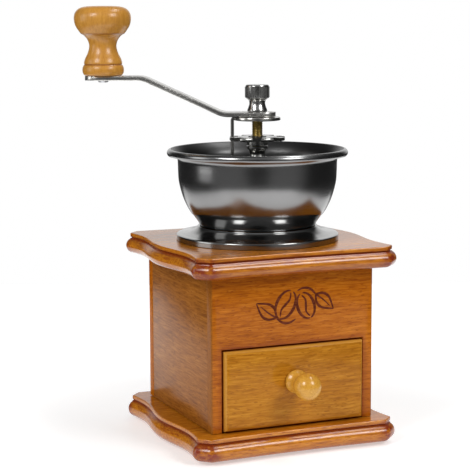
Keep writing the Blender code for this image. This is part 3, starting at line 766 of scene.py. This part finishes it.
def geometry_modifier(made, name, finish, build, **inputs):
    """Replace an object's mesh by what a Geometry Nodes tree with named inputs makes of it.

    build gets the tree and its input sockets, and gives the socket of the geometry to keep.
    """
    kinds = {float: "Float", int: "Int", tuple: "Vector", bpy.types.Object: "Object",
             bpy.types.Material: "Material"}
    inputs["Material"] = finish.material
    tree = bpy.data.node_groups.new(name, "GeometryNodeTree")
    tree.interface.new_socket("Geometry", in_out="INPUT", socket_type="NodeSocketGeometry")
    tree.interface.new_socket("Geometry", in_out="OUTPUT", socket_type="NodeSocketGeometry")
    values = {}
    for label, value in inputs.items():
        socket = tree.interface.new_socket(label.replace("_", " "), in_out="INPUT",
                                           socket_type="NodeSocket" + kinds[type(value)])
        values[socket.identifier] = value
    given = tree.nodes.new("NodeGroupInput").outputs
    real = grow(tree, "GeometryNodeRealizeInstances", Geometry=build(tree, given))
    dressed = grow(tree, "GeometryNodeSetMaterial", Geometry=real, Material=given["Material"])
    tree.links.new(dressed, tree.nodes.new("NodeGroupOutput").inputs[0])
    modifier = made.modifiers.new(name, "NODES")
    modifier.node_group = tree
    for identifier, value in values.items():
        modifier[identifier] = value
    evaluated(made)


def grow(tree, kind, settings=None, **sockets):
    """One Geometry Nodes node's first output; sockets are named, with underscores for spaces."""
    made = tree.nodes.new(kind)
    for name, value in (settings or {}).items():
        setattr(made, name, value)
    for name, value in sockets.items():
        socket = made.inputs[name.replace("_", " ")]
        if isinstance(value, bpy.types.NodeSocket):
            tree.links.new(value, socket)
        else:
            socket.default_value = value
    return made.outputs[0]


def joined(tree, *parts):
    """The socket of the parts' geometry in one."""
    whole = tree.nodes.new("GeometryNodeJoinGeometry")
    for part in parts:
        tree.links.new(part, whole.inputs[0])
    return whole.outputs[0]


def moved_up(tree, geometry, height):
    offset = grow(tree, "ShaderNodeCombineXYZ", Z=height)
    return grow(tree, "GeometryNodeTransform", Geometry=geometry, Translation=offset)


def screw_tree(tree, given):
    """Heads and shanks at every point of the input mesh, tips down."""
    radius = given["Head Radius"]
    info = tree.nodes.new("GeometryNodeObjectInfo")
    tree.links.new(given["Head"], info.inputs["Object"])
    size = grow(tree, "ShaderNodeCombineXYZ", X=radius, Y=radius, Z=radius)
    head = grow(tree, "GeometryNodeTransform", Geometry=info.outputs["Geometry"], Scale=size)
    shank = grow(tree, "GeometryNodeMeshCylinder", Vertices=24, Radius=given["Shank Radius"],
                 Depth=given["Length"])
    drop = grow(tree, "ShaderNodeMath", {"operation": "MULTIPLY"}, Value=given["Length"])
    drop.node.inputs[1].default_value = -0.5
    lowered = moved_up(tree, shank, drop)
    return grow(tree, "GeometryNodeInstanceOnPoints", Points=given["Geometry"],
                Instance=joined(tree, head, lowered), Rotation=given["Rotation"])


HEAD_HEIGHT = 0.64
head_profile = [(0.25, 0.0), (1.0, 0.0), (1.0, 0.16)] + smooth_line(
    [(0.98, 0.26), (0.90, 0.42), (0.70, 0.56), (0.40, 0.62), (0.12, HEAD_HEIGHT)], 3)
screw_head = plain("screw_head", loft([circle(r, z, 40) for r, z in head_profile]))
recess = []
for degrees in (20, 110):
    bm = bmesh.new()
    block(bm, (0, 0, 0.55), (0.95, 0.2, 0.42), Matrix.Rotation(math.radians(degrees), 4, "Z"))
    recess.append(plain(f"recess_{degrees}", bm))
bored(screw_head, *recess)


def screws(name, body, replaced, shank, head_radius, tip="down"):
    """All the screws of one kind on one body, where their CAD nodes stand."""
    turn = {"down": (0.0, 0.0, 0.0), "up": (math.pi, 0.0, 0.0), "front": (-math.pi / 2, 0.0, 0.0)}
    head = HEAD_HEIGHT * head_radius
    seats = []
    for node in replaced:
        low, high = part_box(node)
        seat = middle(node)
        if tip == "front":
            seat.y = high.y - head
        else:
            seat.z = low.z + head if tip == "up" else high.z - head
        seats.append(seat)
    mesh = bpy.data.meshes.new(name)
    mesh.from_pydata(seats, [], [])
    made = add_object(name, mesh)
    low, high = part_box(replaced[0])
    geometry_modifier(made, name, zinc_plate, screw_tree, Head=screw_head, Head_Radius=head_radius,
                      Shank_Radius=shank, Length=max(high - low) - head, Rotation=turn[tip])
    finish_piece(made, zinc_plate, body, replaced)


bearing_screws = ["lower_bearing_screw_1", "lower_bearing_screw_2"]
screws("bowl_screws", "root", bowl_screws, 1.3 * MM, 3 * MM)
screws("base_screws", "root", base_screws, 1.3 * MM, 3 * MM, "up")
screws("lower_bearing_screws", "root", bearing_screws, 0.85 * MM, 1.8 * MM, "up")
screws("drawer_knob_fixing", "drawer", ["drawer_knob_screw"], 1.4 * MM, 3.4 * MM, "front")
bpy.data.objects.remove(screw_head)

# ---- bearings
# A bent steel strap stands on the bowl's floor and carries a turned bush for the spindle.
# Below the burrs a short bar holds the spindle's journal.

bright_plate = plated("bright_plate", (0.66, 0.65, 0.62), 0.17, spread=0.09)


def strap(path, half_widths, thickness, edge=0.25 * MM):
    """A flat strip with softened edges along (along, height) points, bent about the Y axis."""
    points = [Vector((x, 0, z)) for x, z in path]
    rings = []
    for i, point in enumerate(points):
        before, after = points[max(i - 1, 0)], points[min(i + 1, len(points) - 1)]
        tangent = (after - before).normalized()
        normal = Vector((-tangent.z, 0, tangent.x))
        half, rise = half_widths[i], thickness / 2
        soft = min(edge, half * 0.5)
        quarter = [(half - soft, rise), (half - 0.3 * soft, rise - 0.3 * edge), (half, rise - edge)]
        section = [(across, -up) for across, up in quarter]
        section += reversed(quarter)
        section += [(-across, up) for across, up in quarter]
        section += [(-across, -up) for across, up in reversed(quarter)]
        rings.append([point + Vector((0, across, 0)) + normal * up for across, up in section])
    return loft(rings)


def rounded(corners, radius, steps=10):
    """Replace each inner corner of an open polyline with an arc."""
    corners = [Vector(corner) for corner in corners]
    points = [corners[0]]
    for before, corner, after in zip(corners, corners[1:], corners[2:]):
        into, out = (before - corner).normalized(), (after - corner).normalized()
        half = into.angle(out) / 2
        centre = corner + (into + out).normalized() * radius / math.sin(half)
        spoke = corner + into * radius / math.tan(half) - centre
        turn = (math.pi - 2 * half) * (1 if into.cross(out) < 0 else -1)
        points += [centre + Matrix.Rotation(turn * i / steps, 2) @ spoke for i in range(steps + 1)]
    return points + [corners[-1]]


bridge_low, bridge_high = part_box("bearing_bridge")
strip = 2.2 * MM
half_path = [(29.6 * MM, bridge_low.z + strip / 2), (21.2 * MM, bridge_low.z + strip / 2),
             (17.4 * MM, bridge_high.z - strip / 2)]
bridge_path = rounded(half_path + [(-x, z) for x, z in reversed(half_path)], 2 * MM)
bridge = plain("bearing_bridge_bent", strap(bridge_path, [5.5 * MM] * len(bridge_path), strip))
side_places = [place for place in bowl_places if abs(place[1]) < MM]
bored(bridge, rods([(0, 0)], 4.9 * MM, bridge_high.z - 5 * MM, bridge_high.z + 2 * MM, 48),
      rods(side_places, SCREW_HOLE, bridge_low.z - MM, bridge_low.z + 4 * MM))
finish_piece(bridge, bright_plate, "root", ["bearing_bridge"])

bush_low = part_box("upper_bush")[0]
bush_profile = [(3.5, 0.2), (3.7, 0.0), (4.4, 0.0), (4.6, 0.2), (4.6, 2.5), (6.0, 2.5), (6.2, 2.7),
                (6.2, 4.6)]
bush_profile += smooth_line([(6.0, 4.85), (5.1, 5.7), (4.6, 6.9), (4.4, 8.3), (4.7, 9.8),
                             (5.4, 10.7), (6.0, 11.15)])
bush_profile += [(6.2, 11.4), (6.2, 12.5), (6.0, 12.7), (3.7, 12.7), (3.5, 12.5)]
bush = plain("upper_bush_turned", turned(bush_profile, 64, closed=True), raised(bush_low.z))
dark_plate = plated("dark_plate", (0.36, 0.36, 0.345), 0.20)
finish_piece(bush, dark_plate, "root", ["upper_bush"])
keep(bright_plate, "lower_bearing", "spring_washer")
keep(zinc_plate, "burr_nut")

# ---- adjusting nut and spring
# A stamped plate with eight notches on a threaded boss: turning it raises or lowers the
# spindle. A steel coil spring under the bridge keeps the burrs apart.

knob_place = middle("knob_bush").xy
crank_turn = Matrix.Rotation(math.atan2(knob_place.y, knob_place.x), 4, "Z")
nut_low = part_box("adjusting_nut")[0]
nut_profile = [(3.6, 0.2), (3.8, 0.0), (6.0, 0.0), (6.3, 0.3), (6.3, 2.9), (15.8, 2.9),
               (16.15, 3.05), (16.3, 3.4), (16.3, 4.5), (16.15, 4.85), (15.8, 5.0), (5.5, 5.0),
               (5.1, 5.5), (3.8, 5.5), (3.6, 5.3)]
adjusting_nut = plain("adjusting_nut_stamped", turned(nut_profile, 96, closed=True),
                      crank_turn @ raised(nut_low.z))
bm = bmesh.new()
for i in range(8):
    turn = crank_turn @ Matrix.Rotation(math.pi * i / 4, 4, "Z")
    block(bm, turn @ Vector((15.3, 0, nut_low.z / MM + 4)) * MM, Vector((8, 5, 6)) * MM, turn)
bored(adjusting_nut, plain("notches", bm))
finish_piece(adjusting_nut, dark_plate, "adjuster", ["adjusting_nut"])


def spring_tree(tree, given):
    """A round wire swept along a helix."""
    coil = given["Coil Radius"]
    helix = grow(tree, "GeometryNodeCurveSpiral", Resolution=40, Rotations=given["Turns"],
                 Start_Radius=coil, End_Radius=coil, Height=given["Height"])
    wire = grow(tree, "GeometryNodeCurvePrimitiveCircle", Resolution=14,
                Radius=given["Wire Radius"])
    swept = grow(tree, "GeometryNodeCurveToMesh", Fill_Caps=True, Curve=helix, Profile_Curve=wire)
    return moved_up(tree, swept, given["Foot"])


WIRE_RADIUS = 0.55 * MM
spring_low, spring_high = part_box("burr_spring")
spring_height = spring_high.z - spring_low.z
spring = add_object("burr_spring_coil", bpy.data.meshes.new("burr_spring_coil"))
geometry_modifier(spring, "coil", bright_plate, spring_tree, Turns=7.0, Coil_Radius=5.4 * MM,
                  Wire_Radius=WIRE_RADIUS, Foot=spring_low.z + WIRE_RADIUS,
                  Height=spring_height - 2 * WIRE_RADIUS)
finish_piece(spring, bright_plate, "adjuster", ["burr_spring"])
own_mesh(spring)

# ---- spindle
# A long steel rod with a yellow zinc plate, threaded where the adjusting nut and the cap nut
# run on it. It carries the inner burr below and the crank arm on top.

THREAD_PITCH = 1.0 * MM
THREAD_RADIUS = 3.2
THREAD_DEPTH = 0.42
ROUND = 40
yellow_zinc = plated("yellow_zinc", (0.50, 0.375, 0.13), 0.33, lines=0.2)
spindle_low, spindle_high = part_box("spindle")
journal = [(1.9, 0), (2.3, 0.15), (2.5, 0.6), (2.5, 10.8), (3.15, 11.4), (THREAD_RADIUS, 11.6)]
rings = [circle(r * MM, spindle_low.z + z * MM, ROUND) for r, z in journal]
thread_foot = nut_low.z - 8 * MM
thread_top = spindle_high.z - 1.2 * MM
steps = int((thread_top - thread_foot) / THREAD_PITCH * 8)
for i in range(steps + 1):
    z = thread_foot + (thread_top - thread_foot) * i / steps
    fade = min(1, i / 8, (steps - i) / 8)
    ring = circle(1, 0, ROUND)
    for k, point in enumerate(ring):
        groove = abs(((z / THREAD_PITCH - k / ROUND) % 1) * 2 - 1)
        point *= (THREAD_RADIUS - THREAD_DEPTH * fade * groove) * MM
        point.z = z
    rings.append(ring)
rings += [circle(2.9 * MM, spindle_high.z - 0.5 * MM, ROUND),
          circle(2.4 * MM, spindle_high.z, ROUND)]
spindle = plain("spindle_threaded", loft(rings))
finish_piece(spindle, yellow_zinc, "spindle", ["spindle"], angle=40)

# ---- stop plate
# A plated washer with one tab that is bent straight down into a notch of the adjusting nut,
# so that the setting can't creep while the crank turns.

STOP_THICKNESS = 1.9 * MM
TAB_MIDDLE = 14.55 * MM
TAB_HALF = 2.1 * MM
plate_low, plate_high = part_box("stop_plate")
washer = [(3.5, 0.15), (3.65, 0.0), (13.1, 0.0), (13.4, 0.12), (13.5, 0.4), (13.5, 1.5),
          (13.4, 1.78), (13.1, 1.9), (3.65, 1.9), (3.5, 1.75)]
stop_plate = plain("stop_plate_stamped", turned(washer, 96, closed=True),
                   crank_turn @ raised(plate_high.z - STOP_THICKNESS))
plate_middle = plate_high.z - STOP_THICKNESS / 2
tab_path = rounded([(12.6 * MM, plate_middle), (TAB_MIDDLE, plate_middle),
                    (TAB_MIDDLE, plate_low.z)], 1.0 * MM, 6)
tab = plain("tab", strap(tab_path, [TAB_HALF] * len(tab_path), STOP_THICKNESS), crank_turn)
weld = stop_plate.modifiers.new("tab", "BOOLEAN")
weld.operation = "UNION"
weld.object = tab
evaluated(stop_plate)
bpy.data.objects.remove(tab)
finish_piece(stop_plate, bright_plate, "spindle", ["stop_plate"])

# ---- crank arm
# One strip of plated steel with round ends, bent up in two soft bends so that the knob
# clears the bowl. Its plate is pitted in patches.

ARM_THICKNESS = 2.6 * MM
ARM_HALF = 8 * MM
ARM_END = 10.7 * MM
arm_low, arm_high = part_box("crank_arm")
arm_length = knob_place.length
lower = arm_low.z + ARM_THICKNESS / 2
upper = arm_high.z - ARM_THICKNESS / 2
stations = [-ARM_END + ARM_HALF * (1 - math.cos(math.pi / 2 * i / 14)) for i in range(15)]
stations += [3 * MM, 8 * MM]
bends = rounded([(8.5 * MM, lower), (19.9 * MM, lower), (arm_length - 23.3 * MM, upper),
                 (arm_length - 8.5 * MM, upper)], 16 * MM, 14)
arm_path = [(along, lower) for along in stations] + bends
arm_path += [(arm_length - along, upper) for along in reversed(stations)]
widths = []
for x, _ in arm_path:
    past = max(-x, x - arm_length) - ARM_END + ARM_HALF
    widths.append(math.sqrt(max(ARM_HALF ** 2 - max(past, 0) ** 2, (0.5 * MM) ** 2)))
arm = plain("crank_arm_bent", strap(arm_path, widths, ARM_THICKNESS, 0.4 * MM), crank_turn)
bored(arm, rods([(0, 0)], 3.4 * MM, arm_low.z - MM, arm_low.z + 5 * MM, 40),
      rods([knob_place], 2.4 * MM, arm_high.z - 5 * MM, arm_high.z + MM))
arm_plate = Finish("arm_plate", Metallic=1.0)
x, y, z = arm_plate.place()
pits = arm_plate.noise(x * 1100, y * 1100, z * 1100, 3, 0.65)
haze = arm_plate.noise(x * 45, y * 45, z * 45, 3)
spots = pits.ramp(0.56, 0.68) * haze.ramp(0.35, 0.6)
arm_plate.put("Base Color", arm_plate.mix(spots * 0.6, (0.72, 0.71, 0.68), (0.16, 0.15, 0.135)))
arm_plate.put("Roughness", 0.20 + 0.14 * haze + 0.2 * spots)
arm_plate.bump(pits - 1.2 * spots, 0.08 * MM, 0.5)
finish_piece(arm, arm_plate, "spindle", ["crank_arm"])

# ---- cap nut
# A turned thumb nut that holds the arm down: a flared foot, a narrow waist and a
# straight-knurled head with a softly rounded crown.

cap_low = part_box("cap_nut")[0]
cap_foot = [(3.5, 12.6), (3.5, 0.2), (3.7, 0.0), (5.6, 0.0), (5.8, 0.2), (5.8, 0.8)]
cap_waist = smooth_line([(5.7, 1.2), (5.3, 2.2), (4.75, 3.9), (4.6, 5.2), (4.9, 6.4), (5.7, 7.1),
                         (6.2, 7.5)])
cap_head = [(6.75, 7.9), (6.85, 8.1), (6.85, 14.4)] + arc((5.95, 14.6), 0.9, 0, 90, 6)
cap_profile = cap_foot + cap_waist + cap_head + [(4.0, 15.5), (1.2, 15.5)]
cap = plain("cap_nut_knurled", turned(cap_profile, 72), raised(cap_low.z))


def knurl_tree(tree, given):
    """Upright three-sided ribs round a circle, joined to the nut."""
    ring = grow(tree, "GeometryNodeMeshCircle", Vertices=given["Ribs"], Radius=given["Radius"])
    rib = grow(tree, "GeometryNodeMeshCylinder", Vertices=3, Radius=given["Rib Radius"],
               Depth=given["Height"])
    place = grow(tree, "GeometryNodeInputPosition")
    facing = grow(tree, "FunctionNodeAlignRotationToVector", {"axis": "X"}, Vector=place)
    placed = grow(tree, "GeometryNodeInstanceOnPoints", Points=ring, Instance=rib, Rotation=facing)
    return joined(tree, moved_up(tree, placed, given["Middle"]), given["Geometry"])


cap_plate = plated("cap_plate", (0.42, 0.42, 0.41), 0.22)
geometry_modifier(cap, "knurl", cap_plate, knurl_tree, Ribs=44, Radius=6.72 * MM,
                  Rib_Radius=0.46 * MM, Height=6.1 * MM, Middle=cap_low.z + 11.25 * MM)
finish_piece(cap, cap_plate, "spindle", ["cap_nut"])

# ---- hand knob and its pin
# Turned from one piece of pale beech, with two beads and a groove at its foot, a hollow
# waist and a broad mushroom head. It runs on a headed steel pin in a nylon sleeve.

PALE = ((0.36, 0.135, 0.014), (0.55, 0.25, 0.036), (0.70, 0.37, 0.080))
keep(zinc_plate, "knob_pin")
sleeve = Finish("nylon_sleeve", Subsurface_Weight=0.1)
x, y, z = sleeve.place()
scuff = sleeve.noise(x * 700, y * 700, z * 700, 3)
sleeve.put("Base Color", sleeve.mix(scuff, (0.80, 0.79, 0.75), (0.88, 0.87, 0.84)))
sleeve.put("Roughness", 0.38 + 0.12 * scuff)
keep(sleeve, "knob_bush")

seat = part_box("crank_knob")[0].z - 0.3 * MM
knob_foot = [(4.0, 25.5), (4.0, 0.6), (4.3, 0.3), (10.5, 0.3)] + smooth_line(
    [(10.9, 0.4), (11.6, 1.3), (12.05, 3.0), (11.95, 4.6), (11.55, 5.7), (11.15, 6.3)]) + [
    (10.85, 6.5), (10.8, 6.65), (10.95, 6.85)]
knob_waist = smooth_line([(11.1, 7.3), (10.95, 8.3), (10.3, 10.2), (9.0, 12.8), (8.15, 15.4),
                          (7.9, 17.5), (8.25, 19.4), (9.1, 21.3), (10.2, 22.7), (11.2, 23.6),
                          (12.2, 24.15)])
knob_head = [(12.5, 24.25), (12.65, 24.4)] + smooth_line(
    [(12.95, 24.75), (14.2, 26.5), (15.7, 29.0), (16.45, 32.0), (16.4, 34.6), (15.5, 36.9),
     (13.5, 38.8), (10.2, 39.85), (5.0, 40.2), (0.6, 40.22)])
hand_knob = plain("hand_knob_turned", turned(knob_foot + knob_waist + knob_head, 120),
                  Matrix.Translation((*knob_place, seat)))
knob_beech = wood("hand_knob_beech", "z", PALE, 0.2, coat=1.0, soft=0.30, contrast=0.5, flecks=0.3)
x, y, z = knob_beech.place()
# Painted shade: thin dark lines in the groove at the foot and under the ledge of the head.
for height, depth in ((6.6, 0.75), (24.3, 0.55)):
    line = 1 - abs(z - seat - height * MM).ramp(0.0001, 0.0008)
    stain_and_painted_light(knob_beech, line * depth, (0.28, 0.085, 0.012))
finish_piece(hand_knob, knob_beech, "knob", ["crank_knob"], angle=50)

# ---- drawer front and its knob
# The front is a thick beech board with its face edges rounded over, a painted highlight on the
# roundover and painted shade on its sides in the gap. The ball knob is turned with a wide collar
# and screwed on from inside.

front_low, front_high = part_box("drawer_front")
bm = bmesh.new()
block(bm, middle("drawer_front"), front_high - front_low)
round_over(bm, [e for e in bm.edges if on_face(e, front_low.y)], 2.6 * MM, 6)
drawer_front = plain("drawer_front_board", bm)
knob_centre = middle("drawer_knob")
knob_seat = Matrix.Translation((knob_centre.x, front_low.y, knob_centre.z)) @ Matrix.Rotation(
    math.pi / 2, 4, "X")
hole = rods([(0, 0)], 1.8 * MM, -24 * MM, 16 * MM)
hole.data.transform(knob_seat)
bored(drawer_front, hole)
drawer_tones = ((0.25, 0.080, 0.004), (0.41, 0.155, 0.009), (0.55, 0.245, 0.022))
drawer_beech = wood("drawer_beech", "x", drawer_tones, 0.55, contrast=0.9)
x, y, z = drawer_beech.place()
behind_face = y - front_low.y
# Painted highlight: the rounded-over face edges are painted lighter.
painted_edge_highlight = behind_face.ramp(0.0002, 0.0009)
# Painted shade: the sides in the gap round the drawer front are painted dark red.
painted_gap_shade = behind_face.ramp(0.0024, 0.0036)
stain_and_painted_light(drawer_beech, painted_edge_highlight * 0.6, (0.62, 0.31, 0.050))
stain_and_painted_light(drawer_beech, painted_gap_shade * 0.8, RED_STAIN_AND_PAINTED_SHADE)
finish_piece(drawer_front, drawer_beech, "drawer", ["drawer_front"])

collar = [(1.8, 14.0), (1.8, 0.35), (2.0, 0.3), (6.0, 0.3)] + smooth_line(
    [(6.3, 0.35), (6.8, 1.1), (6.65, 2.1), (6.0, 3.0), (5.2, 4.0), (4.75, 5.4), (4.75, 6.9),
     (5.2, 8.3), (6.0, 10.6)])
ball = arc((0, 15.5), 7.7, -36, 86, 26)
small_knob = plain("drawer_knob_turned", turned(collar + ball, 96), knob_seat)
small_tones = ((0.38, 0.15, 0.012), (0.58, 0.285, 0.034), (0.72, 0.41, 0.075))
small_beech = wood("drawer_knob_beech", "y", small_tones, 0.8, coat=1.0, soft=0.22, contrast=0.5,
                   flecks=0.3)
finish_piece(small_knob, small_beech, "drawer", ["drawer_knob"], angle=50)
